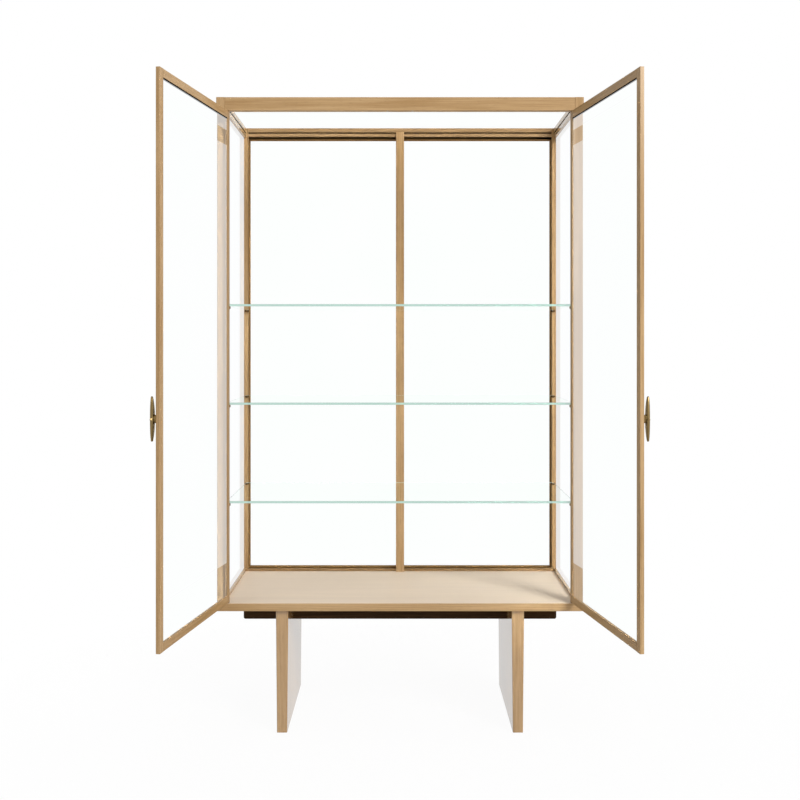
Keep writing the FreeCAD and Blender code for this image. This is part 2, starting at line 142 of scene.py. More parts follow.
# %% Helpers for finishes
def finish_of(name, **values):
    """New material with one Principled BSDF, whose plain values are set on its own sockets."""
    material = bpy.data.materials.new(name)
    material.use_nodes = True
    shader = material.node_tree.nodes["Principled BSDF"]
    for key, value in values.items():
        shader.inputs[key.replace("_", " ")].default_value = value
    return material, material.node_tree, shader


def dress(material, *names):
    """Give CAD nodes one finish."""
    for name in names:
        nodes[name].data.materials.clear()
        nodes[name].data.materials.append(material)
    print(material.name, "on", len(names), "nodes")


print("pieces to dress:", len(nodes))

# %% [markdown]
# ## Oak grain
# Oak has long fibres: broad bands of spring and summer wood, fine streaks and short dark pores, all
# drawn out along the board. One noise pattern, squeezed along the grain, gives each of them. The
# pattern reads Object coordinates, and a direction says which way the board runs, so the same group
# serves uprights, rails and the rails of the open doors.

# %% Node group for oak grain
grain = bpy.data.node_groups.new("oak_grain", "ShaderNodeTree")
for socket_name in ("Vector", "Direction"):
    grain.interface.new_socket(socket_name, in_out="INPUT", socket_type="NodeSocketVector")
for socket_name in ("Bands", "Streaks", "Pores", "Height"):
    grain.interface.new_socket(socket_name, in_out="OUTPUT", socket_type="NodeSocketFloat")

entry = add(grain, "NodeGroupInput")
exit_node = add(grain, "NodeGroupOutput")
along = add(grain, "ShaderNodeVectorMath", {0: entry.outputs["Vector"], 1: entry.outputs["Direction"]},
            operation="DOT_PRODUCT").outputs["Value"]


def squeezed(share):
    """Coordinates with the part along the grain shortened to a share, which stretches a pattern."""
    cut = maths(grain, "MULTIPLY", along, 1.0 - share)
    part = add(grain, "ShaderNodeVectorMath", {0: entry.outputs["Direction"], "Scale": cut},
               operation="SCALE").outputs[0]
    return add(grain, "ShaderNodeVectorMath", {0: entry.outputs["Vector"], 1: part},
               operation="SUBTRACT").outputs[0]


def fibre_noise(share, scale, detail, distortion=0.0):
    """Noise that is drawn out along the grain."""
    return add(grain, "ShaderNodeTexNoise", {"Vector": squeezed(share), "Scale": scale, "Detail": detail,
                                             "Distortion": distortion}).outputs["Fac"]


bands = fibre_noise(share=0.06, scale=34.0, detail=2.0, distortion=0.5)
streaks = fibre_noise(share=0.02, scale=330.0, detail=4.0)
pores = rescaled(grain, fibre_noise(share=0.035, scale=1150.0, detail=2.0), From_Min=0.60, From_Max=0.72)
relief = maths(grain, "SUBTRACT", streaks, pores)
for socket_name, socket in (("Bands", bands), ("Streaks", streaks), ("Pores", pores), ("Height", relief)):
    grain.links.new(socket, exit_node.inputs[socket_name])
print("group", grain.name, "with", len(grain.nodes), "nodes")

# %% [markdown]
# ## Pale oak
# The frame is pale oak under a thin satin lacquer: warm tan, a little lighter and darker along its
# bands, with small pores that sit slightly below the surface. A plain brown would look like plastic,
# so the colour, the gloss and the relief all follow the grain group. The lacquer is a coat over the
# wood, and seen along the surface it mirrors the white room.

# %% Oak finish
UPRIGHT = (0.0, 0.0, 1.0)
LIGHT_AT = 0.74
DARK_AT = 1.26
PORE_SHARE = 0.5
SMOOTHER = 0.06
ROUGHER = 0.08
GRAIN_DEPTH = 0.0004
PALE = {"light": tone(195, 162, 119), "dark": tone(166, 131, 87), "pore": tone(118, 86, 50)}


def oak(name, direction, light, dark, pore, roughness=0.42, coat=0.4, haze=0.3, gloss_index=1.6):
    """Oak whose grain runs along one direction, under a coat of lacquer."""
    material, tree, shader = finish_of(name, Coat_Weight=coat, Coat_Roughness=haze, Coat_IOR=gloss_index,
                                       Specular_IOR_Level=0.0)
    place = add(tree, "ShaderNodeTexCoord").outputs["Object"]
    wood = add(tree, "ShaderNodeGroup", {"Vector": place, "Direction": direction}, node_tree=grain)
    growth = maths(tree, "ADD", wood.outputs["Bands"], wood.outputs["Streaks"])
    depth = rescaled(tree, growth, From_Min=LIGHT_AT, From_Max=DARK_AT)
    body = mixed(tree, depth, light, dark)
    flecks = maths(tree, "MULTIPLY", wood.outputs["Pores"], PORE_SHARE)
    tree.links.new(mixed(tree, flecks, body, pore), shader.inputs["Base Color"])
    gloss = rescaled(tree, wood.outputs["Streaks"], To_Min=roughness - SMOOTHER, To_Max=roughness + ROUGHER)
    tree.links.new(gloss, shader.inputs["Roughness"])
    bump = add(tree, "ShaderNodeBump", {"Height": wood.outputs["Height"], "Strength": 0.12,
                                        "Distance": GRAIN_DEPTH})
    tree.links.new(bump.outputs[0], shader.inputs["Normal"])
    return material


dress(oak("oak_upright", UPRIGHT, **PALE), "front_left_post", "front_right_post", "left_meeting_stile",
      "right_meeting_stile")

# %% [markdown]
# ## Boards of other tones
# No two boards of oak are quite alike. The legs are warmer, and the legs and side rails are rubbed
# smooth, so their lacquer mirrors more. The boards at the back and the hinge stiles are painted a shade
# deeper, as painted shade. The bearers and the beads behind the back panes are the same wood, with
# hardly any lacquer: the bearers are stained, and the beads are painted darker as painted shadow. One
# function with other colours serves them all, and only the direction of the grain changes with it.

# %% Oak tones
ACROSS = (1.0, 0.0, 0.0)
FRONT_TO_BACK = (0.0, 1.0, 0.0)
RUBBED = {"coat": 1.0, "haze": 0.12}
BARE = {"roughness": 0.7, "coat": 0.05}
WARM = {"light": tone(194, 157, 106), "dark": tone(165, 126, 76), "pore": tone(118, 84, 46)}
# Painted shade: the next two tones darken the boards at the back and the hinge stiles.
PAINTED_SHADE_TONE = {"light": tone(182, 149, 107), "dark": tone(153, 119, 77), "pore": tone(110, 79, 45)}
DEEP_PAINTED_SHADE_TONE = {"light": tone(160, 129, 91), "dark": tone(132, 101, 63), "pore": tone(97, 68, 38)}
# Painted shadow: the beads behind the back panes are darkened for the shade they sit in.
BEAD_SHADOW_TONE = {"light": tone(170, 128, 76), "dark": tone(130, 93, 50), "pore": tone(86, 58, 30), **BARE}
STAINED = {"light": tone(78, 56, 34), "dark": tone(46, 31, 17), "pore": tone(22, 15, 9), **BARE}

dress(oak("oak_across", ACROSS, **PALE), "top_front_rail")
dress(oak("oak_deep", FRONT_TO_BACK, gloss_index=1.7, **RUBBED, **PALE), "top_left_rail",
      "top_right_rail", "upper_left_rail", "upper_right_rail", "lower_left_rail", "lower_right_rail")
dress(oak("oak_legs", UPRIGHT, gloss_index=1.8, **RUBBED, **WARM), "left_leg", "right_leg")
# Painted shade on the rear posts, mullion, hinge stiles and back rails.
dress(oak("oak_painted_shade", UPRIGHT, **PAINTED_SHADE_TONE), "rear_left_post", "rear_right_post", "back_mullion",
      "left_hinge_stile", "right_hinge_stile")
dress(oak("oak_back_rails_painted_shade", ACROSS, **DEEP_PAINTED_SHADE_TONE), "top_back_rail", "upper_back_rail", "lower_back_rail")
dress(oak("oak_stained_across", ACROSS, **STAINED), "front_bearer", "rear_bearer")
# Painted shadow on the beads behind the back panes.
dress(oak("oak_bead_shadow_across", ACROSS, **BEAD_SHADOW_TONE), "back_top_bead", "back_bottom_bead")
dress(oak("oak_bead_shadow_upright", UPRIGHT, **BEAD_SHADOW_TONE), "back_left_bead", "back_right_bead",
      "back_centre_bead")

# %% [markdown]
# ## Rails of the open doors
# The rails of a door run neither across nor front to back, because the doors stand open. The hinge says
# how far a door is turned, so the direction of the grain is worked out from its range instead of being
# guessed, and each door gets its own oak.

# %% Door rails
DOORS = ("left", "right")
OPEN_ANGLE = {}
for joint in frame["joints"]:
    OPEN_ANGLE[joint["child"].split("_")[0]] = math.radians(-joint["range_deg"][0]) * joint["axis"][2]

for side in DOORS:
    along_rail = (math.cos(OPEN_ANGLE[side]), math.sin(OPEN_ANGLE[side]), 0.0)
    door_oak = oak("oak_%s_door_rails" % side, along_rail, **PALE)
    dress(door_oak, side + "_door_top_rail", side + "_door_bottom_rail")
    print(side, "door is turned by", round(math.degrees(OPEN_ANGLE[side])), "degrees")

# %% [markdown]
# ## Painted sheen on the floor panel
# The top of the floor panel is painted paler than its edge, a painted sheen for the light and the white
# room that it mirrors at a slant. Two boards could be glued up, but it is one piece, so its material
# looks at the way a face points: faces that look up get the pale sheen, thin enough for some grain to show
# through.

# %% Floor panel finish
def paint_top_sheen(material, colour, share):
    """Paint a pale sheen over the upward faces of a board, so thin that some grain shows through."""
    tree = material.node_tree
    shader = tree.nodes["Principled BSDF"]
    wood = shader.inputs["Base Color"].links[0].from_socket
    facing = add(tree, "ShaderNodeNewGeometry")
    parts = add(tree, "ShaderNodeSeparateXYZ", {0: facing.outputs["True Normal"]})
    amount = rescaled(tree, parts.outputs["Z"], From_Min=0.5, From_Max=0.9, To_Max=share)
    tree.links.new(mixed(tree, amount, wood, colour), shader.inputs["Base Color"])


oak_panel = oak("oak_panel", ACROSS, haze=0.45, **PALE)
# Painted sheen: the upward faces of the floor panel are painted paler.
paint_top_sheen(oak_panel, tone(247, 230, 211), share=0.75)
dress(oak_panel, "floor_panel")

# %% [markdown]
# ## Clear panes
# Float glass is clear through its faces, with a breath of green that is never quite even. Seen along
# its face it mirrors the room, and this room is white all round. So a painted reflection, a white glow
# of the pane's own, is laid over the pane that grows with the slant of the view, and a refraction
# shader bends what is seen through it. That keeps the white studio clean and lets the oak behind a
# slanted pane turn pale. Where an open door would mirror the cabinet's own oak, low down and in a band
# near its top, the painted reflection is weaker. Those heights are read from the picture. For shadow
# rays the pane turns clear, with some loss at each face, so that the lamps reach what stands behind it.

# %% Painted reflection of a pane
PAINTED_REFLECTION_RISE = 2.6
MIRRORED_OAK_DIMMING = 0.75


def sees_white(tree):
    """1 for rays that should meet a white studio: from the camera, off gloss or through glass.

    A ray that has bounced off a matt surface carries light, not the view, so it gets 0.
    """
    path = add(tree, "ShaderNodeLightPath")
    first = maths(tree, "MAXIMUM", path.outputs["Is Camera Ray"], path.outputs["Is Glossy Ray"])
    view = maths(tree, "MAXIMUM", first, path.outputs["Is Transmission Ray"])
    return maths(tree, "SUBTRACT", view, path.outputs["Diffuse Depth"], use_clamp=True)


def painted_reflection_share(tree, place, gleam, mirrored_oak_bands):
    """Share of painted white reflection on a pane: it grows with the slant of the view and drops in the
    mirrored oak bands.
    """
    slant = add(tree, "ShaderNodeLayerWeight", {"Blend": 0.5})
    rise = maths(tree, "POWER", slant.outputs["Facing"], PAINTED_REFLECTION_RISE)
    amount = maths(tree, "MULTIPLY", rise, gleam)
    height = add(tree, "ShaderNodeSeparateXYZ", {0: place}).outputs["Z"]
    # Painted reflection is weaker inside fixed height bands, where a door would mirror oak.
    for low, high in mirrored_oak_bands:
        inside = maths(tree, "COMPARE", height, (low + high) / 2, (high - low) / 2)
        white_share = maths(tree, "MULTIPLY_ADD", inside, -MIRRORED_OAK_DIMMING, 1.0)
        amount = maths(tree, "MULTIPLY", amount, white_share)
    return amount


print("half slanted, a pane shows", round(0.5 ** PAINTED_REFLECTION_RISE, 2), "of its gleam")

# %% Glass finishes
PAINTED_REFLECTION_WHITE = (0.985, 0.99, 0.995, 1.0)
FACE_LOSS = (0.80, 0.82, 0.81, 1.0)
# Heights where the painted reflection on the doors is weaker, for the oak that they would mirror.
LOW_MIRRORED_OAK_BAND = (0.30, 0.471)
HIGH_MIRRORED_OAK_BAND = (1.602, 1.643)
SHELVES = ("lower_shelf", "middle_shelf", "upper_shelf")


def glass(name, gleam, mirrored_oak_bands=()):
    """Flat clear pane: gleam is the share of painted white reflection that it shows along its face.

    Between the heights of a mirrored oak band the pane would mirror oak, and its painted reflection is
    weak.
    """
    material, tree, shader = finish_of(name, Transmission_Weight=1.0, IOR=1.0)
    place = add(tree, "ShaderNodeTexCoord").outputs["Object"]
    drift = add(tree, "ShaderNodeTexNoise", {"Vector": place, "Scale": 3.0, "Detail": 2.0}).outputs["Fac"]
    tint = mixed(tree, drift, tone(253, 255, 254), tone(255, 255, 255))
    tree.links.new(tint, shader.inputs["Base Color"])
    tree.links.new(rescaled(tree, drift, To_Max=0.004), shader.inputs["Roughness"])
    in_view = sees_white(tree)
    bend = add(tree, "ShaderNodeBsdfRefraction", {"Color": tint, "Roughness": 0.0, "IOR": 1.5})
    body = add(tree, "ShaderNodeMixShader", {0: in_view, 1: shader.outputs[0], 2: bend.outputs[0]})
    inner = add(tree, "ShaderNodeNewGeometry").outputs["Backfacing"]
    front = maths(tree, "SUBTRACT", in_view, inner, use_clamp=True)
    seen = maths(tree, "MULTIPLY", painted_reflection_share(tree, place, gleam, mirrored_oak_bands), front)
    # Painted reflection: white light of the pane's own stands in for the white room that it mirrors.
    white = add(tree, "ShaderNodeEmission", {"Color": PAINTED_REFLECTION_WHITE, "Strength": 1.0})
    painted_reflection_mix = add(tree, "ShaderNodeMixShader", {0: seen, 1: body.outputs[0], 2: white.outputs[0]})
    clear = add(tree, "ShaderNodeBsdfTransparent", {"Color": FACE_LOSS})
    shadow_ray = add(tree, "ShaderNodeLightPath").outputs["Is Shadow Ray"]
    join = add(tree, "ShaderNodeMixShader", {0: shadow_ray, 1: painted_reflection_mix.outputs[0], 2: clear.outputs[0]})
    tree.links.new(join.outputs[0], tree.nodes["Material Output"].inputs["Surface"])
    return material


dress(glass("pane_case", gleam=1.15), "left_glass", "right_glass", "back_left_glass", "back_right_glass")
dress(glass("pane_top", gleam=0.25), "top_glass")
pane_door = glass("pane_door", gleam=1.3, mirrored_oak_bands=(LOW_MIRRORED_OAK_BAND, HIGH_MIRRORED_OAK_BAND))
dress(pane_door, "left_door_glass", "right_door_glass")
shelf_clear = glass("shelf_glass", gleam=0.0)
dress(shelf_clear, *SHELVES)

# %% [markdown]
# ## Polished edges
# A glass shelf is never left with a raw cut: its edges are ground flat, the sharp corners are taken
# off and all is polished. The edge gathers light from the whole sheet, so it glows mint green. A real
# pane gets that from light that runs inside it, which takes long to render, so here a painted glow of
# the edge's own stands in for it. The front edge is deeper; the sides and the back are paler and glow more.

# %% Edge finishes
def painted_edge_glow(name, dark, light, strength):
    """Polished shelf edge: pale mint, a little uneven along its length, with a painted glow of its own."""
    material, tree, shader = finish_of(name, Roughness=0.12, IOR=1.5, Transmission_Weight=0.45,
                                       Emission_Strength=strength)
    place = add(tree, "ShaderNodeTexCoord").outputs["Object"]
    mapping = add(tree, "ShaderNodeMapping", {"Vector": place, "Scale": (1.0, 1.0, 12.0)})
    drift = add(tree, "ShaderNodeTexNoise", {"Vector": mapping.outputs[0], "Scale": 7.0,
                                             "Detail": 3.0}).outputs["Fac"]
    glow = mixed(tree, drift, tone(222, 250, 240), tone(236, 255, 250))
    tree.links.new(mixed(tree, drift, dark, light), shader.inputs["Base Color"])
    tree.links.new(glow, shader.inputs["Emission Color"])
    return material


# Painted glow: the edges give light of their own, and the sides and back give more of it.
front_edge = painted_edge_glow("shelf_front_edge", tone(100, 150, 132), tone(125, 168, 152), strength=0.48)
other_edge = painted_edge_glow("shelf_other_edge", tone(175, 205, 194), tone(190, 214, 206), strength=0.6)
print("edge finishes:", front_edge.name, other_edge.name)

# %% [markdown]
# ## Shelves
# A block of the shelf's size, bevelled by half a millimetre, gives the small slanted faces that catch
# the light. The construction model has plain blocks, so each shelf is replaced by a polished one, with
# one finish for the sheet and two for its edges.

# %% Shelf pieces
ARRIS = 0.0005
FLAT = 0.9
FRONTWARD = -0.5


def round_off(mesh, edges, offset, segments=2):
    """Round edges of a mesh. The operator's defaults differ from the editor's, so all is set here."""
    bmesh.ops.bevel(mesh, geom=edges, offset=offset, segments=segments, profile=0.5, affect="EDGES",
                    material=-1)


def new_piece(name, mesh, body, slot, *materials):
    """Turn a bmesh into a finished object that rides on a body and takes its finishes."""
    data = bpy.data.meshes.new(name)
    mesh.to_mesh(data)
    mesh.free()
    for material in materials:
        data.materials.append(material)
    piece = bpy.data.objects.new(name, data)
    scene.collection.objects.link(piece)
    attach(piece, body)
    print(piece.name, len(data.polygons), "faces")
    return piece


def shelf_finish(normal):
    """Place in the shelf's list of finishes: 0 the sheet, 1 the front edge, 2 the other edges."""
    if abs(normal.z) > FLAT:
        return 0
    return 1 if normal.y < FRONTWARD else 2


for shelf_name in SHELVES:
    low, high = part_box(shelf_name)
    mesh = bmesh.new()
    bmesh.ops.create_cube(mesh, size=1.0)
    bmesh.ops.scale(mesh, vec=high - low, verts=mesh.verts)
    round_off(mesh, mesh.edges[:], ARRIS)
    bmesh.ops.translate(mesh, vec=(low + high) / 2, verts=mesh.verts)
    for face in mesh.faces:
        face.material_index = shelf_finish(face.normal)
    piece = new_piece("polished_" + shelf_name, mesh, "case", "shelf_glass", shelf_clear, front_edge,
                      other_edge)
    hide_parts(shelf_name)

# %% [markdown]
# ## Metal, nylon and rubber
# The small hardware is plain: bronzed brass handles with a brushed satin face, steel pins and screws,
# dark nylon bushes and glides, and a dark seal strip, whose rubber also draws painted shadow lines.
# Each takes a little noise in colour and roughness, because no real surface is quite even. Drawing the
# noise out along the handle turns it into brush marks.

# %% Hardware finishes
GLOSS_DRIFT = 0.08
MOTTLE_DEPTH = 0.0002


def worn(name, bright, dull, scale, roughness, metallic=0.0, stretch=(1.0, 1.0, 1.0), shine=0.5):
    """Plain finish with mottled colour and roughness."""
    material, tree, shader = finish_of(name, Metallic=metallic, Specular_IOR_Level=shine)
    place = add(tree, "ShaderNodeTexCoord").outputs["Object"]
    mapping = add(tree, "ShaderNodeMapping", {"Vector": place, "Scale": stretch})
    mottle = add(tree, "ShaderNodeTexNoise", {"Vector": mapping.outputs[0], "Scale": scale,
                                              "Detail": 4.0}).outputs["Fac"]
    tree.links.new(mixed(tree, mottle, bright, dull), shader.inputs["Base Color"])
    gloss = rescaled(tree, mottle, To_Min=roughness - GLOSS_DRIFT, To_Max=roughness + GLOSS_DRIFT)
    tree.links.new(gloss, shader.inputs["Roughness"])
    bump = add(tree, "ShaderNodeBump", {"Height": mottle, "Strength": 0.08, "Distance": MOTTLE_DEPTH})
    tree.links.new(bump.outputs[0], shader.inputs["Normal"])
    return material


bronze = worn("bronzed_brass", tone(142, 121, 81), tone(108, 88, 53), scale=420.0, roughness=0.36,
              metallic=1.0, stretch=(1.0, 1.0, 0.06))
steel = worn("plain_steel", tone(176, 176, 172), tone(140, 140, 138), scale=300.0, roughness=0.35,
             metallic=1.0)
nylon = worn("dark_nylon", tone(46, 37, 29), tone(30, 24, 19), scale=200.0, roughness=0.6, shine=0.1)
# Painted shadow: this dark rubber draws the shade lines under the top and under the door rails.
rubber = worn("seal_rubber_shadow_line", tone(24, 18, 13), tone(14, 10, 8), scale=250.0, roughness=0.8, shine=0.0)
dress(bronze, "left_handle_leaf", "right_handle_leaf", "left_handle_stem", "right_handle_stem")
dress(steel, "bearer_screws", "shelf_pins", "catch_magnets", "left_pivot_pins", "right_pivot_pins",
      "left_strike_plate", "right_strike_plate")
dress(nylon, "foot_glides", "pivot_bushes")
dress(rubber, "top_seal")
dress(oak("beech_tenons", UPRIGHT, **PALE), "frame_tenons")

# %% [markdown]
# ## Working on a shut door
# A piece on a slanted door is hard to shape in place. So it is made where it lies when the door is
# shut, square to the cabinet, and then turned about the hinge with one transform. The same transform,
# the other way round, tells where a construction piece lies on the shut door.

# %% Turn a door
def door_turn(side):
    """Transform that carries a piece from the closed door to the door as it stands open."""
    joint = [j for j in frame["joints"] if j["child"] == side + "_door"][0]
    pivot = Vector(joint["pos_m"])
    turn = Matrix.Rotation(OPEN_ANGLE[side], 4, "Z")
    return Matrix.Translation(pivot) @ turn @ Matrix.Translation(-pivot)


def box_of(points):
    """Lowest and highest corner of some points."""
    low = Vector(min(p[i] for p in points) for i in range(3))
    high = Vector(max(p[i] for p in points) for i in range(3))
    return low, high


def closed_box(side, node_name):
    """Lowest and highest corner of a door node, with the door turned shut."""
    back = door_turn(side).inverted()
    return box_of([back @ v.co for v in nodes[node_name].data.vertices])


for side in DOORS:
    pane_low, pane_high = closed_box(side, side + "_door_glass")
    print(side, "pane, shut:", [round(v, 3) for v in pane_high - pane_low], "m")

# %% [markdown]
# ## Oval handles
# Each door has a slim metal leaf held off the wood by an oval stem. The leaf is flat in front, bowed
# behind and rounded all along its rim. An oval outline is extruded to a plate, sliced across so that
# its back can bend, and its rim is bevelled. The stem is an oval that is extruded in short steps and
# drawn in at its waist.

# %% Shape of the leaf
OVAL_SEGMENTS = 64
LEAF_BOW = 0.003
LEAF_SLICES = 16
LEAF_RIM = 0.0022
RIM_ANGLE = 1.2


def oval_outline(mesh, width, height, segments=OVAL_SEGMENTS):
    """Flat oval face, standing up, that looks to the front."""
    verts = bmesh.ops.create_circle(mesh, cap_ends=True, segments=segments, radius=0.5)["verts"]
    bmesh.ops.scale(mesh, vec=(width, height, 1.0), verts=verts)
    stand_up = Matrix.Rotation(QUARTER_TURN, 3, "X")
    bmesh.ops.rotate(mesh, cent=(0.0, 0.0, 0.0), matrix=stand_up, verts=verts)
    return list({face for vert in verts for face in vert.link_faces})


def pull(mesh, faces, distance):
    """Extrude faces along y and give back the new end faces."""
    grown = bmesh.ops.extrude_face_region(mesh, geom=faces)["geom"]
    verts = [g for g in grown if isinstance(g, bmesh.types.BMVert)]
    bmesh.ops.translate(mesh, vec=(0.0, distance, 0.0), verts=verts)
    return [g for g in grown if isinstance(g, bmesh.types.BMFace)]


def leaf_mesh(low, high):
    """Oval leaf between two corners: flat in front, bowed behind, rounded along its rim."""
    size = high - low
    mesh = bmesh.new()
    front = oval_outline(mesh, size.x, size.z)
    pull(mesh, front, size.y)
    for step in range(1 - LEAF_SLICES // 2, LEAF_SLICES // 2):
        bmesh.ops.bisect_plane(mesh, geom=mesh.verts[:] + mesh.edges[:] + mesh.faces[:],
                               plane_co=(0.0, 0.0, step * size.z / LEAF_SLICES), plane_no=UPRIGHT)
    for vert in mesh.verts:
        if vert.co.y > size.y / 2:
            vert.co.y -= LEAF_BOW * (2.0 * vert.co.z / size.z) ** 2
    bmesh.ops.recalc_face_normals(mesh, faces=mesh.faces)
    rim = [e for e in mesh.edges if len(e.link_faces) == 2 and e.calc_face_angle() > RIM_ANGLE]
    round_off(mesh, rim, LEAF_RIM, segments=4)
    middle = Vector(((low.x + high.x) / 2, low.y, (low.z + high.z) / 2))
    bmesh.ops.translate(mesh, vec=middle, verts=mesh.verts)
    return mesh


print("leaf bowed by", LEAF_BOW * 1000.0, "mm in", LEAF_SLICES, "slices")

# %% Handle pieces
STEM_STEPS = 8
WAIST = 0.16


def stem_mesh(low, high, length):
    """Oval stem of a given length, drawn in at its waist, whose foot lies at y = 0."""
    size = high - low
    mesh = bmesh.new()
    end = oval_outline(mesh, size.x, size.z)
    for step in range(1, STEM_STEPS + 1):
        end = pull(mesh, end, -length / STEM_STEPS)
        share = 1.0 - WAIST * math.sin(math.pi * step / STEM_STEPS)
        before = 1.0 - WAIST * math.sin(math.pi * (step - 1) / STEM_STEPS)
        ring = list({v for face in end for v in face.verts})
        bmesh.ops.scale(mesh, vec=(share / before, 1.0, share / before), verts=ring)
    bmesh.ops.recalc_face_normals(mesh, faces=mesh.faces)
    middle = Vector(((low.x + high.x) / 2, 0.0, (low.z + high.z) / 2))
    bmesh.ops.translate(mesh, vec=middle, verts=mesh.verts)
    return mesh


for side in DOORS:
    leaf_low, leaf_high = closed_box(side, side + "_handle_leaf")
    stem_low, stem_high = closed_box(side, side + "_handle_stem")
    door_face = closed_box(side, side + "_meeting_stile")[0].y
    leaf = leaf_mesh(leaf_low, leaf_high)
    stem = stem_mesh(stem_low, stem_high, door_face - leaf_high.y)
    bmesh.ops.translate(stem, vec=(0.0, door_face, 0.0), verts=stem.verts)
    for part_name, mesh in (("leaf", leaf), ("stem", stem)):
        bmesh.ops.transform(mesh, matrix=door_turn(side), verts=mesh.verts)
        for face in mesh.faces:
            face.smooth = True
        node_name = "%s_handle_%s" % (side, part_name)
        piece = new_piece("shaped_" + node_name, mesh, side + "_door", "bronze", bronze)
        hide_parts(node_name)

# %% [markdown]
# ## Seal strips
# A dark strip closes the joint between the top frame and the rails below it. In the construction
# model it lies deep in the joint. Here its nose is brought out almost to the face of the wood, where
# its dark rubber draws the thin dark line under the top as painted shadow for the shade in that joint.
# Each strip is a block with its edges rounded.

# %% Seal pieces
SEAL_NOSE = 0.0036
SEAL_ROUNDING = 0.0006
SAME_PLACE = 0.00001


def loose_boxes(data):
    """Boxes of the separate solids in a mesh, in a fixed order."""
    mesh = bmesh.new()
    mesh.from_mesh(data)
    bmesh.ops.remove_doubles(mesh, verts=mesh.verts, dist=SAME_PLACE)
    waiting = set(mesh.verts)
    boxes = []
    while waiting:
        found = [waiting.pop()]
        for vert in found:
            near = [edge.other_vert(vert) for edge in vert.link_edges]
            found.extend(other for other in near if other in waiting)
            waiting.difference_update(near)
        boxes.append(box_of([vert.co.copy() for vert in found]))
    mesh.free()
    return sorted(boxes, key=lambda box: tuple(round(v, 5) for v in box[0]))


def soft_block(mesh, low, high, rounding):
    """Add a block between two corners, with rounded edges, to a mesh."""
    verts = bmesh.ops.create_cube(mesh, size=1.0)["verts"]
    bmesh.ops.scale(mesh, vec=high - low, verts=verts)
    bmesh.ops.translate(mesh, vec=(low + high) / 2, verts=verts)
    round_off(mesh, list({edge for vert in verts for edge in vert.link_edges}), rounding)


# Painted shadow: the dark nose brought out to the face draws the shade line of the joint.
mesh = bmesh.new()
for low, high in loose_boxes(nodes["top_seal"].data):
    size = high - low
    nose = Vector((0.0, SEAL_NOSE, 0.0)) if size.x > size.y else Vector((SEAL_NOSE, 0.0, 0.0))
    soft_block(mesh, low - nose, high + nose, SEAL_ROUNDING)
piece = new_piece("nosed_top_seal_shadow_line", mesh, "case", "seal", rubber)
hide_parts("top_seal")

# %% [markdown]
# ## Dark strips in the doors
# A fine dark line runs under the top rail of each door, the shade under the rail. Here it is painted
# shadow: a dark strip on each side of the pane, which closes the step between the glass and the oak.
# The strips are laid as soft blocks in the opening of the closed door, and then turned with the door.

# %% Shadow strip pieces
SHADOW_STRIP_HEIGHT = 0.0022
SHADOW_STRIP_SETBACK = 0.0004
SHADOW_STRIP_ROUNDING = 0.0004

# Painted shadow: dark strips under each door's top rail stand in for the shade there.
for side in DOORS:
    pane_low, pane_high = closed_box(side, side + "_door_glass")
    rail_low, rail_high = closed_box(side, side + "_door_top_rail")
    stiles = sorted((closed_box(side, side + name) for name in ("_hinge_stile", "_meeting_stile")),
                    key=lambda box: box[0].x)
    left = stiles[0][1].x
    right = stiles[1][0].x
    top = rail_low.z
    front_strip = (rail_low.y + SHADOW_STRIP_SETBACK, pane_low.y)
    rear_strip = (pane_high.y, rail_high.y - SHADOW_STRIP_SETBACK)
    mesh = bmesh.new()
    for front, back in (front_strip, rear_strip):
        low = Vector((left, front, top - SHADOW_STRIP_HEIGHT))
        soft_block(mesh, low, Vector((right, back, top)), SHADOW_STRIP_ROUNDING)
    bmesh.ops.transform(mesh, matrix=door_turn(side), verts=mesh.verts)
    new_piece(side + "_pane_shadow_strip", mesh, side + "_door", "seal", rubber)

# %% [markdown]
# ## Sleeves on the shelf pins
# A bare steel pin would chip the glass, so each pin wears a brown sleeve that the shelf rests on. The
# sleeve hangs a little low on its pin, because its top lies level with the pin's. A round outline is
# extruded along the pin and its rims are rounded. The rear sleeves also have a small upright tab that
# stops the shelf from sliding back; its brown also paints the dark spot of shade and mirrored pin there.

# %% Sleeve pieces
SLEEVE_RADIUS = 0.0036
SLEEVE_SEGMENTS = 24
SLEEVE_ROUNDING = 0.0008
SLEEVE_TIP = 0.0005
PIN_REACH = 0.012
TAB_WIDTH = 0.014
TAB_DEPTH = 0.0018
TAB_RISE = 0.0045
TAB_DROP = 0.006
TAB_OFFSET = 0.001
TAB_ROUNDING = 0.0006


def add_sleeve(mesh):
    """Add a sleeve to a mesh, from the origin to the front, and give back its vertices."""
    known = set(mesh.verts)
    outline = oval_outline(mesh, 2.0 * SLEEVE_RADIUS, 2.0 * SLEEVE_RADIUS, SLEEVE_SEGMENTS)
    pull(mesh, outline, -PIN_REACH - SLEEVE_TIP)
    ring = [vert for vert in mesh.verts if vert not in known]
    rims = list({edge for vert in ring for edge in vert.link_edges
                 if abs(edge.verts[0].co.y - edge.verts[1].co.y) < SAME_PLACE})
    round_off(mesh, rims, SLEEVE_ROUNDING)
    return [vert for vert in mesh.verts if vert not in known]


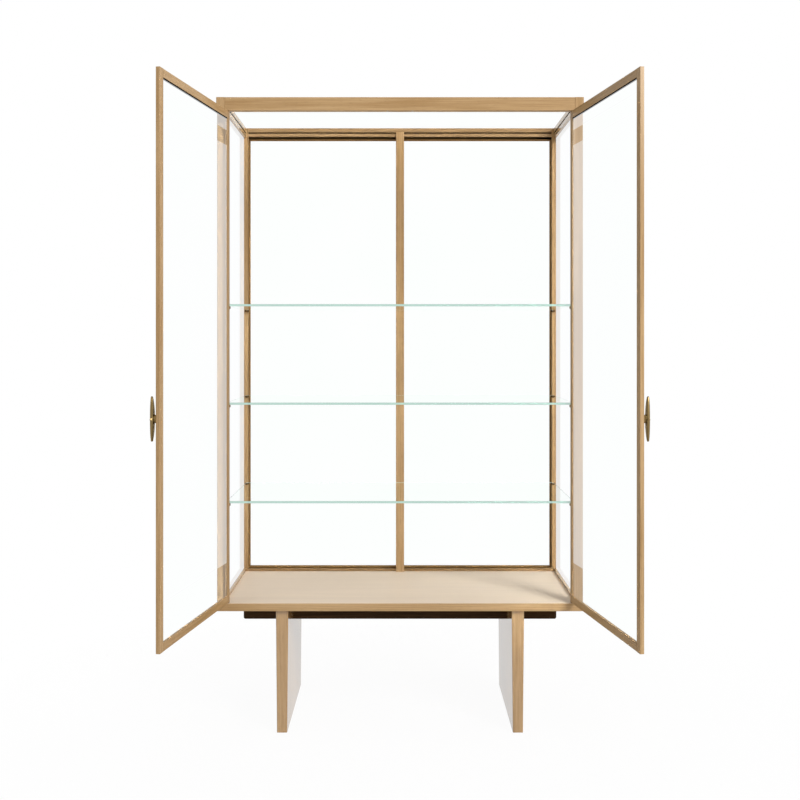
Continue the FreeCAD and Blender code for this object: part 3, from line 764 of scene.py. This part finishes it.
# The brown rear tabs are partly painted shade: they draw the dark spot at the rear posts.
sleeves = bmesh.new()
for low, high in loose_boxes(nodes["shelf_pins"].data):
    middle = (low + high) / 2
    inward = -1.0 if middle.x > 0.0 else 1.0
    ring = add_sleeve(sleeves)
    seat = Vector((middle.x, middle.y, high.z - SLEEVE_RADIUS))
    rear = high.y - low.y > high.x - low.x
    if rear:
        seat.y = low.y + PIN_REACH
        tab_low = Vector((middle.x - inward * TAB_OFFSET - TAB_WIDTH / 2, seat.y - TAB_DEPTH,
                          high.z - TAB_DROP))
        tab_size = Vector((TAB_WIDTH, TAB_DEPTH, TAB_RISE + TAB_DROP))
        soft_block(sleeves, tab_low, tab_low + tab_size, TAB_ROUNDING)
    else:
        seat.x = -inward * (min(abs(low.x), abs(high.x)) + PIN_REACH)
        sideways = Matrix.Rotation(QUARTER_TURN * inward, 3, "Z")
        bmesh.ops.rotate(sleeves, cent=(0.0, 0.0, 0.0), matrix=sideways, verts=ring)
    bmesh.ops.translate(sleeves, vec=seat, verts=ring)
bmesh.ops.recalc_face_normals(sleeves, faces=sleeves.faces)
brown_nylon = worn("brown_nylon", tone(100, 72, 42), tone(76, 54, 30), scale=200.0, roughness=0.6,
                   shine=0.1)
new_piece("pin_sleeves", sleeves, "case", "nylon", brown_nylon)

# %% [markdown]
# ## White floor and sky
# A studio cut-out stands on white. The floor and the world show plain white to the camera, to
# reflections and through glass, while the light that they give the cabinet stays at a normal level.
# Near the cabinet a share of the floor is still a plain matt surface, so the shadow under it stays.

# %% Stage
WHITE = (1.0, 1.0, 1.0, 1.0)
AMBIENT = 0.25
FLOOR_REACH = 12.0
FLOOR_TONE = (0.92, 0.92, 0.92, 1.0)
SHADOW_FULL = 0.5
SHADOW_END = 1.5
NEAR_WHITE = 0.96

world = bpy.data.worlds.new("studio")
scene.world = world
world.use_nodes = True
sky = world.node_tree
sky.nodes.clear()
level = rescaled(sky, sees_white(sky), To_Min=AMBIENT, To_Max=1.0)
backdrop = add(sky, "ShaderNodeBackground", {"Color": WHITE, "Strength": level})
add(sky, "ShaderNodeOutputWorld", {"Surface": backdrop.outputs[0]})

mesh = bmesh.new()
bmesh.ops.create_grid(mesh, x_segments=1, y_segments=1, size=FLOOR_REACH)
floor_data = bpy.data.meshes.new("studio_floor")
mesh.to_mesh(floor_data)
mesh.free()
floor = bpy.data.objects.new("studio_floor", floor_data)
scene.collection.objects.link(floor)

floor_finish, tree, shader = finish_of("studio_white", Roughness=0.9, Base_Color=FLOOR_TONE)
glow = add(tree, "ShaderNodeEmission", {"Color": WHITE, "Strength": 1.0})
place = add(tree, "ShaderNodeTexCoord").outputs["Object"]
reach = add(tree, "ShaderNodeVectorMath", {0: place}, operation="LENGTH").outputs["Value"]
cover = rescaled(tree, reach, From_Min=SHADOW_FULL, From_Max=SHADOW_END, To_Min=NEAR_WHITE, To_Max=1.0)
share = maths(tree, "MULTIPLY", sees_white(tree), cover)
blend = add(tree, "ShaderNodeMixShader", {0: share, 1: shader.outputs[0], 2: glow.outputs[0]})
tree.links.new(blend.outputs[0], tree.nodes["Material Output"].inputs["Surface"])
floor_data.materials.append(floor_finish)
print("floor reaches", FLOOR_REACH, "m each way")

# %% [markdown]
# ## Lamps
# Soft light comes from large lamps. The main one stands high at the right front and throws the soft
# streak on the floor panel, a weak one at the left lifts the shadows, and one overhead lights the tops.
# None of them is in the camera's view. The Standard view shows colours about as they are written.

# %% Light
def soft_lamp(name, place, aim, width, power):
    """Round lamp of a given width that looks from its place to an aim."""
    data = bpy.data.lights.new(name, "AREA")
    data.shape = "DISK"
    data.size = width
    data.energy = power
    lamp = bpy.data.objects.new(name, data)
    lamp.location = place
    lamp.rotation_euler = (Vector(aim) - Vector(place)).to_track_quat("-Z", "Y").to_euler()
    scene.collection.objects.link(lamp)


soft_lamp("key_right", place=(3.5, -4.4, 3.9), aim=(0.0, 0.1, 0.9), width=2.6, power=300.0)
soft_lamp("fill_left", place=(-3.0, -1.9, 2.6), aim=(0.0, 0.0, 1.0), width=1.8, power=13.0)
soft_lamp("overhead", place=(0.0, 0.1, 3.6), aim=(0.0, 0.2, 0.4), width=2.2, power=15.0)
scene.view_settings.view_transform = "Standard"
